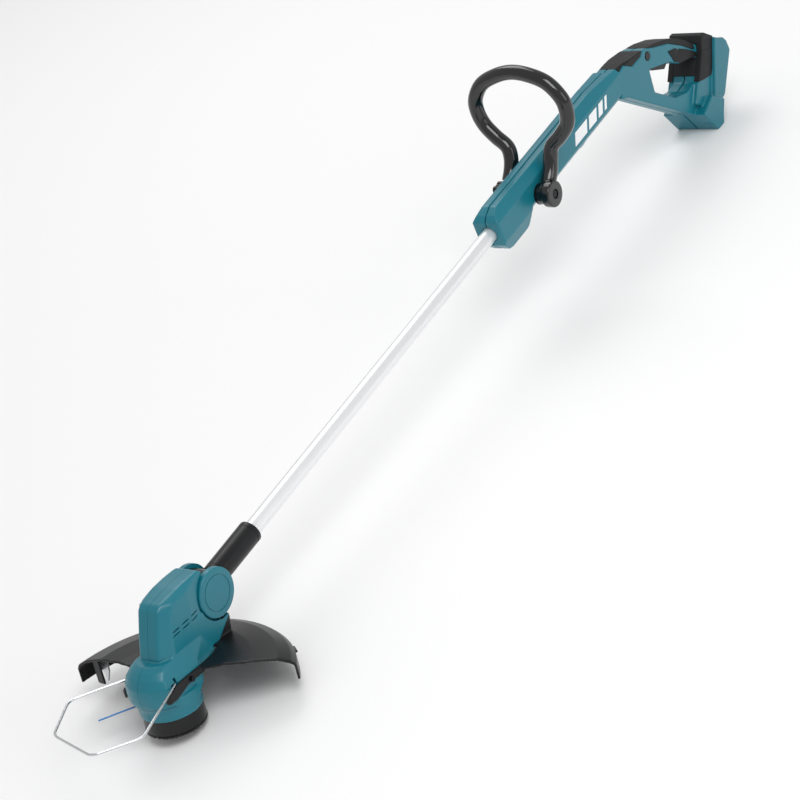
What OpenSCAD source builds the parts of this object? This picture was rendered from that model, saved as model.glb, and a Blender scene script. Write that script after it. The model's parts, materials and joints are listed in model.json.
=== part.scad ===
// Cordless string trimmer, battery not fitted, lying on the bump cap of its spool and on its rear foot.
// The tool is drawn about its shaft: X runs back along the tube from the head pivot, Y is the
// operator's right, Z is up. The head is drawn about its spool, with Z along the spindle.
// lay_down() then turns the whole tool onto the floor, with the origin on the foot's resting face.

/* [Shaft] */
// Outside diameter of the aluminium tube
tube_d = 20; // [16:0.5:24]
// Wall of the aluminium tube
tube_wall = 1.5; // [1:0.1:2]
// Length of bare tube between the sleeve and the front housing
tube_span = 571; // [350:1:750]
// Outside diameter of the black lower sleeve
sleeve_d = 29; // [26:0.5:29.5]
// Distance from the head pivot to the upper end of the sleeve
sleeve_len = 100; // [70:1:140]

/* [Head] */
// Angle of the tube above the cutting plane at the flattest setting
head_angle = 12.7; // [8:0.1:20]
// Height of the pivot above the spool's lower rim
pivot_h = 113.7; // [108:0.1:120]
// Distance of the pivot behind the spindle
pivot_back = 92.4; // [88:0.1:100]
// Radius of the pivot discs
disc_r = 29; // [28:0.5:32]
// Distance over the two pivot discs
disc_w = 44.6; // [42:0.2:50]
// Width of the motor box
box_w = 45; // [44:0.5:56]
// Width of the nose above the spool
nose_w = 63; // [62:0.5:76]
// Wall of the moulded housings
wall = 2.5; // [2:0.1:3]

/* [Motor and gears] */
// Diameter of the motor can
motor_d = 36; // [32:0.5:37]
// Length of the motor can
motor_len = 44; // [38:0.5:46]
// Tooth module of the gear pair
gear_module = 1; // [0.9:0.05:1.05]
// Teeth on the motor pinion
pinion_teeth = 16; // [14:2:18]
// Teeth on the spindle gear
gear_teeth = 36; // [32:2:36]
// Width of the spindle gear
gear_face = 8; // [5:0.5:9]
// Diameter of the spindle
spindle_d = 8; // [6:0.5:9]

/* [Spool] */
// Radius of the spool at its lower rim
spool_r = 35.5; // [32:0.5:36]
// Height of the spool in sight below the collar ring
spool_h = 21; // [19:0.5:26]
// Radius of the bump cap
cap_r = 18; // [14:0.5:22]
// How far the bump cap stands below the spool
cap_drop = 7; // [5:0.5:10]
// Travel of the bump cap
cap_travel = 5; // [3:0.5:6]
// Diameter of the nylon line
line_d = 2; // [1.6:0.1:2.4]

/* [Guard] */
// Radius of the guard's rim about the spindle
guard_r = 146; // [120:1:170]
// Height of the guard's rim above the spool's lower rim
guard_top = 48; // [44:0.5:54]
// Depth of the guard's skirt
skirt_h = 25; // [15:0.5:28]
// Thickness of the guard
guard_t = 2.8; // [2:0.1:4]
// Diameter of the wire guard's wire
wire_d = 3; // [2.5:0.1:4]
// Reach of the wire guard forward of its pivots
wire_reach = 137; // [100:1:160]

/* [Front housing and loop handle] */
// Length of the front housing along its top
front_len = 339; // [300:1:400]
// Width of the front housing
front_w = 40; // [36:0.5:44]
// Diameter of the loop handle's bar
loop_d = 20; // [18:0.5:24]
// Distance of the loop handle's pivot behind the front housing's nose
loop_at = 99; // [95:1:110]
// Distance over the loop handle's two bosses
loop_w = 89; // [86:1:96]
// Diameter of the loop handle's through bolt
bolt_d = 6; // [5:0.5:8]

/* [Rear housing] */
// Width of the main grip
grip_w = 35; // [32:0.5:40]
// Width of the battery block
block_w = 61; // [56:0.5:70]
// Width of the part of the block in front of the battery plate
neck_w = 50; // [44:0.5:54]
// Width of the trigger
trigger_w = 12; // [10:0.5:16]
// Travel of the lock-off button
lock_travel = 4; // [2:0.5:5]

/* [Hidden] */
$fn = 64;

teal = [0.07, 0.47, 0.53];
black = [0.09, 0.09, 0.1];
steel = [0.72, 0.73, 0.75];
big = 2000;
eps = 0.01;
seam = 0.1;             // each housing half stands back this far from the split plane
fit = 0.05;             // radial clearance of a pin that turns in its bore
gap = 0.5;              // clearance between pieces that move past each other
nest = 0.15;            // clearance between pieces that are fixed together

front_x = sleeve_len + tube_span;
seam_x = front_x + front_len;

// ---------- frames ----------
// The foot's resting face and the bump cap's lower edge, both in the shaft's frame
foot_x = seam_x + 180;
foot_z = -181.5;
cap_chamfer = 3;
cap_edge = [cap_r - cap_chamfer, -cap_drop];
function shaft_of(p) = [
    (p[0] - pivot_back) * cos(head_angle) + (p[1] - pivot_h) * sin(head_angle),
    -(p[0] - pivot_back) * sin(head_angle) + (p[1] - pivot_h) * cos(head_angle)];
cap_point = shaft_of(cap_edge);
lie_pitch = atan2(cap_point[1] - foot_z, foot_x - cap_point[0]);

module lay_down() rotate([0, -lie_pitch, 0]) translate([-foot_x, 0, -foot_z]) children();
module in_shaft(c) color(c) lay_down() children();
module in_head(c) color(c) lay_down() rotate([0, head_angle, 0])
    translate([-pivot_back, 0, -pivot_h]) children();
module in_front(c) color(c) lay_down() translate([front_x, 0, 0]) children();
module in_rear(c) color(c) lay_down() translate([seam_x, 0, 0]) children();

// A side view drawn in X and Z, made w wide about the centre plane
module side_view(w) rotate([90, 0, 0]) linear_extrude(w, center = true) children();
module cross_rod(r, len, y = 0) translate([0, y, 0]) rotate([90, 0, 0]) cylinder(r = r, h = len, center = true);
module left_half() intersection() {
    children();
    translate([-big, -big - seam, -big]) cube([2 * big, big, 2 * big]);
}
module right_half() intersection() {
    children();
    translate([-big, seam, -big]) cube([2 * big, big, 2 * big]);
}
module ring(r_out, r_in, h) difference() {
    cylinder(r = r_out, h = h);
    translate([0, 0, -1]) cylinder(r = r_in, h = h + 2);
}

// A round bar swept along points, as one closed polyhedron
function unit(v) = v / norm(v);
function tangent(p, i) = unit(p[min(i + 1, len(p) - 1)] - p[max(i - 1, 0)]);
module bar(points, d, sides, side_axis = [0, 0, 1]) {
    n = len(points);
    rings = [for (i = [0:n - 1]) let (t = tangent(points, i), u = unit(cross(t, side_axis)), v = cross(u, t))
        for (k = [0:sides - 1]) points[i] + d / 2 * (cos(360 * k / sides) * u + sin(360 * k / sides) * v)];
    skin = [for (i = [0:n - 2]) for (k = [0:sides - 1]) let (a = i * sides + k, b = i * sides + (k + 1) % sides)
        each [[a, b, b + sides], [a, b + sides, a + sides]]];
    caps = [[for (k = [sides - 1:-1:0]) k], [for (k = [0:sides - 1]) (n - 1) * sides + k]];
    polyhedron(rings, concat(skin, caps), convexity = 6);
}
// Catmull-Rom curve through hand-chosen points
function curve(p, steps) = [for (i = [0:len(p) - 2]) each
    let (a = p[max(i - 1, 0)], b = p[i], c = p[i + 1], d = p[min(i + 2, len(p) - 1)])
    [for (s = [0:steps - 1]) let (t = s / steps)
        0.5 * (2 * b + (c - a) * t + (2 * a - 5 * b + 4 * c - d) * t * t + (3 * b - a - 3 * c + d) * t * t * t)],
    p[len(p) - 1]];

// ---------- shaft ----------
tube_r = tube_d / 2;
bore_r = tube_r - tube_wall;
drum_r = disc_r - 5;
arm_w = sleeve_d;                     // width of the pivot drum between the head's cheeks
tube_start = drum_r + 3;
tube_in = 64;                         // how far the tube reaches into the front housing
spigot_end = tube_start + 35;
pin_r = 5;

module shaft_tube() in_shaft([0.86, 0.87, 0.89]) rotate([0, 90, 0]) translate([0, 0, tube_start])
    ring(tube_r, bore_r, front_x + tube_in - tube_start);

module lower_sleeve() in_shaft(black) difference() {
    rotate([0, 90, 0]) translate([0, 0, drum_r - 6])
        ring(sleeve_d / 2, tube_r + nest, sleeve_len - drum_r + 6);
    cross_rod(drum_r + nest, 2 * sleeve_d);
}

module pivot_drum() in_shaft([0.35, 0.35, 0.37]) difference() {
    union() {
        cross_rod(drum_r, arm_w);
        rotate([0, 90, 0]) cylinder(r = bore_r - nest, h = spigot_end);
        rotate([0, 90, 0]) cylinder(r = tube_r, h = tube_start - nest);
    }
    cross_rod(pin_r + fit, 2 * arm_w);
    for (i = [0:4]) rotate([0, 150 + 15 * i, 0]) translate([drum_r, 0, 0]) cross_rod(1.6, 14);
}

lead_d = 5;
lead_route = [[spigot_end + 2, 0, 0], [front_x - 40, 0, 0], [front_x + 40, 0, 1], [front_x + 62, 0, 3],
    [front_x + 80, 0, 8], [front_x + 99, 0, 10], [front_x + 125, 0, 7], [front_x + 160, 0, 3],
    [seam_x - 60, 0, 0], [seam_x - 10, 0, -4], [seam_x + 18, 0, -9], [seam_x + 29, 0, -10]];
module supply_lead() in_shaft(black) bar(curve(lead_route, 3), lead_d, 8, [0, 1, 0]);

// ---------- head housing ----------
disc_half = disc_w / 2;
cheek_in = arm_w / 2 + gap;
collar_r = 36;
ring_low = spool_h;
shell_floor = 41;
box_front_w = 27;       // flat front of the motor box, between its chamfers
box_front = [[-13, 84], [5, 138], [12, 143], [16, 143], [0, 84]];
box_side = [[4, 83], [16, 130], [20, 139], [44, 140], [44, 80]];
box_rear = [[40, 80], [12, 143], [40, 147.5], [56, 149], [78, 149.5], [86, 146], [80, 88]];
spine_side = [[10, 44], [20, 40], [25, 38], [39, 45], [75, 59], [103, 80], [110, 95], [80, 110], [20, 90]];
nose_side = [[-34, 40], [-43, 48], [-43, 68], [-27, 83], [-12, 87], [50, 84], [64, 62], [36, 44], [34, 40]];
nose_front = [[-30, 40], [-nose_w / 2, 46], [-nose_w / 2, 62], [-24, 87], [24, 87], [nose_w / 2, 62],
    [nose_w / 2, 46], [30, 40]];
nose_r = 43;            // the nose is round about the spindle in front

module nose_solid(t) intersection() {
    side_view(2 * nose_w) offset(delta = -t) polygon(nose_side);
    rotate([90, 0, 90]) linear_extrude(200, center = true) offset(delta = -t) polygon(nose_front);
    union() {
        cylinder(r = nose_r - t, h = 200);
        translate([0, -100, 0]) cube(200);
    }
}
module box_solid(t) hull() {
    side_view(box_front_w - 2 * t) offset(delta = -t) polygon(box_front);
    side_view(box_w - 2 * t) offset(delta = -t) polygon(box_side);
    side_view(2 * cheek_in + 3 - 2 * t) offset(delta = -t) polygon(box_rear);
}
module at_pivot() translate([pivot_back, 0, pivot_h]) rotate([0, -head_angle, 0]) children();
tilt_max = 60;
sweep = 38;             // half the angle that the sleeve takes up at the discs
slot_out = 60;
slot_arc = [for (i = [0:12]) -sweep + (tilt_max + 2 * sweep) * i / 12];
module tilt_slot() at_pivot() side_view(2 * cheek_in) polygon(concat(
    [for (a = slot_arc) slot_out * [cos(a), sin(a)]], [for (i = [12:-1:0]) 15 * [cos(slot_arc[i]), sin(slot_arc[i])]]));
vent_at = [[22, 97], [36, 106], [50, 115]];
wire_pivot = [-12.6, 62];
wire_y = 28;
wire_hub = 24;          // inner end of the wire guard's stub
wire_gap = wire_d / 2 + 1;
module wire_slots() for (s = [-1, 1]) translate([wire_pivot[0], 0, wire_pivot[1]]) {
    cross_rod(wire_d / 2 + fit, 10, s * (wire_y - 3));
    translate([0, s * (wire_y - wire_d / 2 - gap + 15), 0]) side_view(30)
        polygon([[wire_gap, -wire_gap], [wire_gap, 8], [-9, 8], [-9, -wire_gap]]);
}
head_screw_at = [[-30, 58], [60, 74], [14, 138], [64, 142]];

module detent_room() at_pivot() rotate([0, 195, 0]) translate([drum_r + 0.1, 0, 0]) children();

module head_shell() difference() {
    union() {
        box_solid(0);
        nose_solid(0);
        side_view(34) polygon(spine_side);
        translate([0, 0, ring_low]) cylinder(r = collar_r, h = 46 - ring_low);
        translate([pivot_back, 0, pivot_h]) cross_rod(disc_r, disc_w);
    }
    difference() {
        union() {
            box_solid(wall);
            intersection() {
                nose_solid(wall);
                translate([-100, -100, shell_floor + wall]) cube(200);
            }
            side_view(34 - 2 * wall) offset(delta = -wall) polygon(spine_side);
        }
        translate([pivot_back, 0, pivot_h]) cross_rod(drum_r + gap + wall, 100);
        translate([0, 0, ring_low]) cylinder(r = collar_r, h = shell_floor + wall - ring_low);
        for (p = head_screw_at) translate([p[0], 0, p[1]]) cross_rod(4, 100);
    }
    translate([0, 0, ring_low - 1]) cylinder(r = spool_neck_r + gap, h = shell_floor - ring_low + 1);
    cylinder(r = 9, h = 60);
    translate([pivot_back, 0, pivot_h]) cross_rod(drum_r + gap, 2 * cheek_in);
    translate([pivot_back, 0, pivot_h]) cross_rod(pin_r, disc_w - 2 * wall);
    tilt_slot();
    wire_slots();
    translate([motor_x, 0, cover_z - 4]) cylinder(r = motor_d / 2 + gap, h = motor_len + cover_top - cover_z + 8);
    case_solid(case_floor, cover_top - case_floor, 2 * gap + case_wall);
    detent_room() cross_rod(1.5 + nest, 12 + 2 * gap);
    guard_screw_holes();
    for (p = vent_at) for (dz = [0, 4.5]) translate([p[0], 0, p[1] + dz]) rotate([0, -33, 0])
        cube([12, 80, 1.8], center = true);
    for (p = head_screw_at) translate([p[0], 0, p[1]]) {
        cross_rod(1.25, 28.2);
        translate([0, 50 + 14, 0]) cross_rod(3, 100);
    }
}
module disc_rings() for (s = [-1, 1]) translate([pivot_back, s * disc_half, pivot_h]) rotate([90, 0, 0])
    translate([0, 0, -0.6]) ring(21, 19.6, 1.2);
module head_housing_left() in_head(teal) left_half() {
    head_shell();
    disc_rings();
}
module head_housing_right() in_head(teal) right_half() {
    head_shell();
    disc_rings();
}
module cross_screw(d, len, head_d, head_h) {
    translate([0, -len / 2, 0]) cross_rod(d / 2, len);
    translate([0, head_h / 2, 0]) cross_rod(head_d / 2, head_h);
}
module head_screws() in_head(steel) for (p = head_screw_at)
    translate([p[0], 14, p[1]]) cross_screw(2.5, 26, 5.6, 2.4);
module pivot_pin() in_head(steel) translate([pivot_back, 0, pivot_h]) cross_rod(pin_r, disc_w - 2 * wall - 2 * nest);
module tilt_detent_spring() in_head(steel) detent_room() difference() {
    cross_rod(1.5, 12);
    translate([-20, -20, -20]) cube([20, 40, 40]);
}

// ---------- motor and gears ----------
motor_x = gear_module * (pinion_teeth + gear_teeth) / 2;
motor_z = 84;
gear_z = 61;
case_floor = 46;
cover_z = 73.5;
cover_top = 83;
brg_out = 11;
brg_in = spindle_d / 2;
brg_h = 7;
brg_at = [48, cover_z + 1];
shaft_r = 1.6;
pilot_r = 6.5;
gear_tip = gear_module * (gear_teeth / 2 + 1);
pinion_tip = gear_module * (pinion_teeth / 2 + 1);
case_wall = 2;
motor_screw_y = motor_d / 2 - 3.5;

module motor_can() in_head(steel) translate([motor_x, 0, motor_z]) difference() {
    union() {
        cylinder(r = motor_d / 2, h = motor_len);
        translate([0, 0, -3.5]) cylinder(r = pilot_r, h = 4);
    }
    translate([0, 0, -5]) cylinder(r = shaft_r + fit, h = 60);
    translate([0, 0, 2]) cylinder(r = motor_d / 2 - 1.5, h = motor_len);
    for (s = [-1, 1]) translate([0, s * motor_screw_y, -1]) cylinder(r = 1.5, h = 4);
}
module motor_end_bell() in_head(black) translate([motor_x, 0, motor_z + motor_len + nest]) difference() {
    union() {
        cylinder(r = motor_d / 2, h = 4);
        cylinder(r = 6, h = 7);
    }
    translate([0, 0, -1]) cylinder(r = shaft_r + fit, h = 6);
}
module motor_shaft() in_head(steel) translate([motor_x, 0, gear_z - 1]) {
    cylinder(r = shaft_r, h = motor_z - gear_z + 1 + motor_len + 4);
    translate([0, 0, motor_z - gear_z + 6]) cylinder(r = motor_d / 2 - 6.5, h = motor_len - 16);
}
pressure_angle = 20;
slack = 0.12;           // backlash taken off each flank at the pitch circle
function inv(a) = tan(a) * 180 / PI - a;
function flank(teeth, r) = let (rp = gear_module * teeth / 2, rb = rp * cos(pressure_angle))
    90 / teeth - slack / rp * 180 / PI + inv(pressure_angle) - inv(acos(min(1, rb / r)));
module gear_outline(teeth) {
    rp = gear_module * teeth / 2;
    rb = rp * cos(pressure_angle);
    root = rp - 1.35 * gear_module;
    tip = rp + 0.85 * gear_module;
    start = max(rb, root);
    radii = [for (k = [0:5]) start + (tip - start) * k / 5];
    polygon([for (i = [0:teeth - 1]) let (c = 360 * i / teeth) each concat(
        [root * [cos(c - flank(teeth, start)), sin(c - flank(teeth, start))]],
        [for (r = radii) r * [cos(c - flank(teeth, r)), sin(c - flank(teeth, r))]],
        [for (k = [5:-1:0]) radii[k] * [cos(c + flank(teeth, radii[k])), sin(c + flank(teeth, radii[k]))]],
        [root * [cos(c + flank(teeth, start)), sin(c + flank(teeth, start))]])]);
}
module pinion() in_head([0.75, 0.6, 0.3]) translate([motor_x, 0, gear_z]) difference() {
    rotate([0, 0, 180 / pinion_teeth]) linear_extrude(gear_face) gear_outline(pinion_teeth);
    translate([0, 0, -1]) cylinder(r = shaft_r, h = gear_face + 2);
}
module spur_gear() in_head([0.85, 0.85, 0.8]) translate([0, 0, gear_z]) difference() {
    linear_extrude(gear_face) gear_outline(gear_teeth);
    translate([0, 0, -1]) cylinder(r = spindle_d / 2, h = gear_face + 2);
}
module case_solid(z, h, r) translate([0, 0, z]) {
    cylinder(r = gear_tip + r, h = h);
    translate([motor_x, 0, 0]) cylinder(r = pinion_tip + r, h = h);
}
module gear_case() in_head([0.25, 0.25, 0.27]) difference() {
    case_solid(case_floor, cover_z - case_floor - nest, gap + case_wall);
    case_solid(gear_z - 1.5, 30, gap);
    translate([0, 0, brg_at[0]]) cylinder(r = brg_out, h = 30);
    cylinder(r = spindle_d / 2 + gap, h = 80);
}
module gear_cover() in_head([0.6, 0.6, 0.62]) difference() {
    union() {
        case_solid(cover_z, cover_top - cover_z, gap + case_wall);
        translate([motor_x, 0, cover_z]) cylinder(r = motor_d / 2, h = cover_top - cover_z);
    }
    translate([0, 0, cover_z - 1]) cylinder(r = brg_out, h = brg_h + 2);
    translate([motor_x, 0, cover_z - 1]) cylinder(r = pilot_r + nest, h = 20);
    for (s = [-1, 1]) translate([motor_x, s * motor_screw_y, cover_z - 1]) cylinder(r = 1.5, h = 20);
}
module motor_screws() in_head(steel) for (s = [-1, 1]) translate([motor_x, s * motor_screw_y, 0]) {
    translate([0, 0, cover_z - 3]) cylinder(r = 2.7, h = 3 - nest);
    translate([0, 0, cover_z - 1]) cylinder(r = 1.5 - fit, h = 12.5);
}
lead_turn = [[motor_x, -8, 132.4], [motor_x + 2, -8, 137], [motor_x + 10, -8, 140.3], [motor_x + 20, -8, 139.5],
    [motor_x + 27, -8, 136], [motor_x + 31, -8, 129]];
module motor_lead() in_head(black) bar(curve(lead_turn, 3), 3, 8, [0, 1, 0]);
module bearing_outer_rings() in_head(steel) for (z = brg_at) translate([0, 0, z]) difference() {
    ring(brg_out - fit / 2, brg_out - 2.6, brg_h);
    translate([0, 0, brg_h / 2]) rotate_extrude() translate([ball_track, 0]) circle(r = ball_r + fit);
}
ball_r = 1.9;
ball_track = (brg_out + brg_in) / 2;
module bearing_balls() in_head(steel) for (z = brg_at) for (i = [0:6]) rotate([0, 0, 360 / 7 * i])
    translate([ball_track, 0, z + brg_h / 2]) sphere(r = ball_r);
module bearing_inner_rings() in_head(steel) for (z = brg_at) translate([0, 0, z]) difference() {
    ring(brg_in + 2.3, brg_in, brg_h);
    translate([0, 0, brg_h / 2]) rotate_extrude() translate([ball_track, 0]) circle(r = ball_r + fit);
}

// ---------- spool ----------
spool_top_r = spool_r - 1.5;
spool_neck_r = 33.6;
neck_top = spool_h + 6;
spool_wall = 1.8;
reel_r = spool_neck_r - spool_wall - 2;
reel_low = 4 + cap_travel;
reel_high = neck_top - 5;
reel_core = 12;
line_z = 17.5;
line_angle = 70.5;      // bearing of the line's exit, from straight back towards the right
cap_stem_r = 8;
exit_r = 3;

module spindle() in_head(steel) translate([0, 0, 19]) cylinder(r = spindle_d / 2, h = cover_z + brg_h - 18);
module spool_housing() in_head(black) difference() {
    union() {
        translate([0, 0, 3]) cylinder(r1 = spool_r - 0.2, r2 = spool_top_r, h = spool_h - 3.5);
        translate([0, 0, 3]) cylinder(r = spool_neck_r, h = neck_top - 3);
        translate([0, 0, neck_top]) cylinder(r = 8, h = 6);
    }
    translate([0, 0, -1]) cylinder(r = spool_neck_r - spool_wall, h = neck_top - 1);
    translate([0, 0, 10]) cylinder(r = spindle_d / 2, h = 60);
    rotate([0, 0, line_angle]) translate([20, 0, line_z]) rotate([0, 90, 0]) cylinder(r = exit_r, h = 30);
}
module spool_cover() in_head(black) difference() {
    union() {
        cylinder(r = spool_r, h = 3 - nest);
        cylinder(r = spool_neck_r - spool_wall - nest, h = 4.5);
    }
    translate([0, 0, -1]) cylinder(r = cap_r + gap, h = 10);
    for (i = [0:7]) rotate([0, 0, 45 * i]) translate([spool_r + 3.4, 0, -1]) cylinder(r = 4, h = 10);
}
module line_reel() in_head([0.2, 0.2, 0.22]) translate([0, 0, reel_low]) difference() {
    union() {
        cylinder(r = reel_r, h = 1.5);
        cylinder(r = reel_core, h = reel_high - reel_low);
        translate([0, 0, reel_high - reel_low - 1.5]) cylinder(r = reel_r, h = 1.5);
    }
    translate([0, 0, -1]) cylinder(r = cap_stem_r + gap, h = 40);
}
module line_winding() in_head([0.1, 0.45, 0.85]) translate([0, 0, reel_low + 1.6])
    ring(reel_r - 3, reel_core + nest, reel_high - reel_low - 3.2);
module line_eyelet() in_head(steel) rotate([0, 0, line_angle]) translate([spool_neck_r - spool_wall, 0, line_z])
    rotate([0, 90, 0]) ring(exit_r, line_d / 2 + 2 * gap, spool_r - spool_neck_r + spool_wall + 0.6);
line_route = [[10.4, 27.6, 17.5], [11.2, 31, 17.5], [11.4, 34, 17.5], [9.6, 36.5, 17.5], [6, 38.7, 17.5],
    [0, 42.8, 17.5], [-8, 48.4, 17.5], [-17, 54.6, 17.5], [-27, 61.6, 17.5], [-36, 67.8, 17.5], [-44, 73.4, 17.5]];
module cutting_line() in_head([0.1, 0.45, 0.85]) bar(curve(line_route, 2), line_d, 8);
module bump_cap() in_head(black) {
    translate([0, 0, -cap_drop]) cylinder(r1 = cap_r - cap_chamfer, r2 = cap_r, h = cap_chamfer);
    translate([0, 0, cap_chamfer - cap_drop]) cylinder(r = cap_r, h = cap_drop - cap_chamfer + 3.5 - eps);
    difference() {
        translate([0, 0, -1]) cylinder(r = cap_stem_r, h = 10);
        translate([0, 0, 3]) cylinder(r = 6.5, h = 30);
    }
}
module bump_spring() in_head(steel) translate([0, 0, 3.6]) ring(6.2, 5, neck_top - 5.7);

// ---------- guard ----------
guard_left = -62;
guard_right = 86;
guard_edge = [[-2, -36], [86, -126]];   // front edge of the left wing, in plan
web_y = 17 + nest;
guard_root_r = 44;
module guard_profile() polygon([[guard_root_r, 62], [70, 64], [100, 62], [128, guard_top + 7], [guard_r - 5, guard_top],
    [guard_r, guard_top - 6], [guard_r, guard_top - skirt_h], [guard_r - guard_t, guard_top - skirt_h],
    [guard_r - guard_t, guard_top - 7], [guard_r - 7, guard_top - guard_t], [127, guard_top + 7 - guard_t],
    [100, 62 - guard_t], [70, 64 - guard_t], [guard_root_r, 62 - guard_t]]);
band_low = 46;
band_t = 3;
module spine_room(t) side_view(34 + 2 * t) offset(delta = t) polygon(spine_side);
module guard() in_head(black) {
    difference() {
        union() {
            difference() {
                rotate([0, 0, guard_left]) rotate_extrude(angle = guard_right - guard_left, $fn = 96)
                    guard_profile();
                translate([0, 0, -50]) linear_extrude(200) polygon(concat(guard_edge, [[86, -400], [-200, -400],
                    [-200, -36]]));
            }
            rotate([0, 0, -38]) translate([guard_r - 1, -7, guard_top - skirt_h + 12]) cube([4, 14, guard_t]);
            for (s = [-1, 1]) translate([0, s * (web_y + guard_t / 2), 0])
                side_view(guard_t) polygon([[34, 46], [40, 56], [62, 71], [96, 90], [104, 80], [100, 62 - guard_t], [44, 45]]);
            intersection() {
                translate([0, 0, band_low]) cylinder(r = nose_r + band_t, h = 62 - band_low);
                translate([-33, -nose_w / 2 - band_t, 0]) cube([100, nose_w + 2 * band_t, 100]);
                side_view(200) polygon([[-33, band_low], [-33, 55], [-10, 62], [60, 62], [60, band_low + 6],
                    [0, band_low + 6], [-20, band_low]]);
            }
            rotate([0, 0, guard_right - 4]) translate([guard_r - 34, 0, guard_top - skirt_h])
                cube([12, guard_t, skirt_h + 6.5]);
        }
        spine_room(nest);
        nose_solid(-nest);
        translate([pivot_back, 0, pivot_h]) cross_rod(disc_r + nest, 100);
        guard_screw_holes();
    }
}
// Guard screws: X, Z and the guard face under the head
guard_screw_at = [[91, 80.5, web_y + guard_t], [79, 74, web_y + guard_t], [67, 67.5, web_y + guard_t],
    [8, 56, nose_w / 2 + band_t]];
guard_screw_len = 6;
module guard_screw_holes() for (p = guard_screw_at) translate([p[0], 0, p[1]]) cross_rod(1.6, 90);
module guard_screws() in_head(steel) for (s = [-1, 1]) for (p = guard_screw_at)
    translate([p[0], s * (p[2] + 0.1), p[1]]) {
        translate([0, s * 1.1, 0]) cross_rod(3, 2.2);
        translate([0, -s * guard_screw_len / 2, 0]) cross_rod(1.6 - fit, guard_screw_len);
    }
cutter_r = guard_r - 24;
cutter_angle = guard_right - 9;
module line_cutter() in_head(steel) rotate([0, 0, cutter_angle]) translate([cutter_r, 0, 0]) rotate([90, 0, 0])
    linear_extrude(2, center = true) polygon([[-9, guard_top + 0.5], [9, guard_top - guard_t - 4],
        [7, guard_top - 14], [1, guard_top - 29], [-7, guard_top - 14]]);
module line_cutter_screw() in_head(steel) rotate([0, 0, cutter_angle]) translate([cutter_r, -2.2, guard_top - 9])
    rotate([90, 0, 0]) cylinder(r = 3, h = 2);

// ---------- wire guard ----------
wire_x = wire_pivot[0];
wire_z = wire_pivot[1];
wire_left = [[wire_x, -wire_hub, wire_z], [wire_x, -wire_y - 1, wire_z], [wire_x - 4, -wire_y - 4, wire_z],
    [wire_x - 50, -49, wire_z], [wire_x - 97, -68, wire_z], [wire_x - 103, -68, wire_z],
    [wire_x - wire_reach - 7, -36, wire_z], [wire_x - wire_reach - 8, -30, wire_z]];
wire_right = [[wire_x - wire_reach + 14, 38, wire_z], [wire_x - wire_reach + 16, 44, wire_z],
    [wire_x - 66, 72, wire_z], [wire_x - 59, 73, wire_z], [wire_x - 30, 52, wire_z],
    [wire_x - 4, wire_y + 4, wire_z], [wire_x, wire_y + 1, wire_z], [wire_x, wire_hub, wire_z]];
function mirrored(p) = [for (i = [len(p) - 1:-1:0]) [p[i][0], -p[i][1], p[i][2]]];
module wire_guard() in_head(steel) union() {
    bar(concat(wire_left, wire_right), wire_d, 12);
    for (s = [-1, 1]) translate([wire_x, 0, wire_z]) cross_rod(wire_d / 2, 5, s * (wire_y - 2.5));
}

// ---------- front housing ----------
front_half = front_w / 2;
bolt_r = bolt_d / 2;
loop_z = -5;
front_side = [[0, -16], [0, 19], [6, 25], [20, 31], [front_len - 60, 31], [front_len - seam, 26],
    [front_len - seam, -18], [240, -17], [236, -21], [226, -21], [222, -17], [14, -17]];
front_section = [[-front_half, -8], [-front_half, 18], [-11, 31], [11, 31], [front_half, 18], [front_half, -8],
    [9, -21], [-9, -21]];
bulge_side = [[0, 0], [0, -16], [14, -31], [24, -34], [62, -34], [68, -32], [78, -10], [78, 0]];
bulge_section = [[-front_half, 0], [-front_half, -12], [-11, -35], [11, -35], [front_half, -12], [front_half, 0]];
front_screw_at = [[26, -21], [160, -10], [300, -11], [150, 22], [285, 21]];
module front_solid(t) {
    intersection() {
        side_view(2 * front_w) offset(delta = -t) polygon(front_side);
        rotate([90, 0, 90]) linear_extrude(2 * front_len, center = true) offset(delta = -t) polygon(front_section);
    }
    intersection() {
        side_view(2 * front_w) offset(delta = -t) polygon(bulge_side);
        rotate([90, 0, 90]) linear_extrude(2 * front_len, center = true) offset(delta = -t) polygon(bulge_section);
    }
}
module front_shell() difference() {
    front_solid(0);
    difference() {
        front_solid(wall);
        translate([loop_at, 0, loop_z]) cross_rod(bolt_r + 4, 100);
        for (p = front_screw_at) translate([p[0], 0, p[1]]) cross_rod(4, 100);
        for (x = [10, 48, 82]) translate([x, -50, -50]) cube([3, 100, 100]);
    }
    translate([-1, 0, 0]) rotate([0, 90, 0]) cylinder(r = tube_r, h = tube_in + 1);
    translate([60, 0, 0]) rotate([0, 90, 0]) cylinder(r = tube_r, h = 10);
    translate([loop_at, 0, loop_z]) cross_rod(bolt_r + fit, 100);
    translate([80, 0, 8]) cube([30, lead_d + 1, lead_d + 3], center = true);
    translate([front_len - 20, -11, -14]) cube([40, 22, 26]);
    for (p = front_screw_at) translate([p[0], 0, p[1]]) {
        cross_rod(1.5, 16);
        translate([0, 50 + 8, 0]) cross_rod(3.2, 100);
    }
}
module front_housing_left() in_front(teal) left_half() front_shell();
module front_housing_right() in_front(teal) right_half() front_shell();
module front_housing_screws() in_front(steel) for (p = front_screw_at)
    translate([p[0], 8, p[1]]) cross_screw(3, 16, 6, 2.6);
washer_y = front_half + nest;
washer_t = 1.6;
module handle_washers() in_front(black) for (s = [-1, 1])
    translate([loop_at, s * (washer_y + washer_t / 2), loop_z]) rotate([90, 0, 0])
        translate([0, 0, -washer_t / 2]) ring(14, bolt_r + fit, washer_t);

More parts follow.
